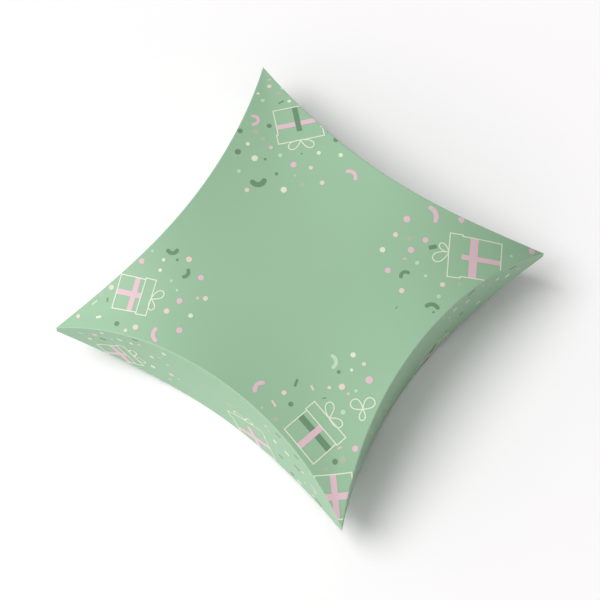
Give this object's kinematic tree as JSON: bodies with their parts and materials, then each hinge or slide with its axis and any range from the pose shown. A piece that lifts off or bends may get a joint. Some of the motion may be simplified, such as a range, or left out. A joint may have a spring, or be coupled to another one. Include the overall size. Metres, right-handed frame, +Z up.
{
  "type": "pillow box",
  "caption": "Square pillow box of folded printed card, with hollow curved sides, pointed corners and fold-out closure and tuck flaps.",
  "frame": {"origin": "on the surface it rests on, under the middle of the box", "axes": "+Z up through the panels; the front closure flap faces -Y, the right one +X, the left one -X and the rear wall +Y"},
  "size_m": [0.1496, 0.1496, 0.046],
  "materials": {
    "printed_card": "mint printed folding boxboard with a soft matt lamination"
  },
  "bodies": {
    "shell": {"top_panel": "printed_card", "bottom_panel": "printed_card", "rear_wall": "printed_card"},
    "front_closure": {"front_closure_flap": "printed_card"},
    "front_tuck": {"front_tuck_flap": "printed_card"},
    "right_closure": {"right_closure_flap": "printed_card"},
    "right_tuck": {"right_tuck_flap": "printed_card"},
    "left_closure": {"left_closure_flap": "printed_card"},
    "left_tuck": {"left_tuck_flap": "printed_card"}
  },
  "joints": [
    {"name": "front_closure_fold", "type": "hinge", "parent": "shell", "child": "front_closure", "pos_m": [0, -0.0575, 0.046], "axis": [-1, 0, 0], "range_deg": [0, 80]},
    {"name": "front_tuck_fold", "type": "hinge", "parent": "shell", "child": "front_tuck", "pos_m": [0, -0.05675, 0], "axis": [1, 0, 0], "range_deg": [0, 60]},
    {"name": "right_closure_fold", "type": "hinge", "parent": "shell", "child": "right_closure", "pos_m": [0.0575, 0, 0.046], "axis": [0, -1, 0], "range_deg": [0, 80]},
    {"name": "right_tuck_fold", "type": "hinge", "parent": "shell", "child": "right_tuck", "pos_m": [0.05675, 0, 0], "axis": [0, 1, 0], "range_deg": [0, 60]},
    {"name": "left_closure_fold", "type": "hinge", "parent": "shell", "child": "left_closure", "pos_m": [-0.0575, 0, 0.046], "axis": [0, 1, 0], "range_deg": [0, 80]},
    {"name": "left_tuck_fold", "type": "hinge", "parent": "shell", "child": "left_tuck", "pos_m": [-0.05675, 0, 0], "axis": [0, -1, 0], "range_deg": [0, 60]}
  ],
  "couplings": [
    {"joint": "front_tuck_fold", "follows": "front_closure_fold", "ratio": 0.75},
    {"joint": "right_tuck_fold", "follows": "right_closure_fold", "ratio": 0.75},
    {"joint": "left_tuck_fold", "follows": "left_closure_fold", "ratio": 0.75}
  ]
}
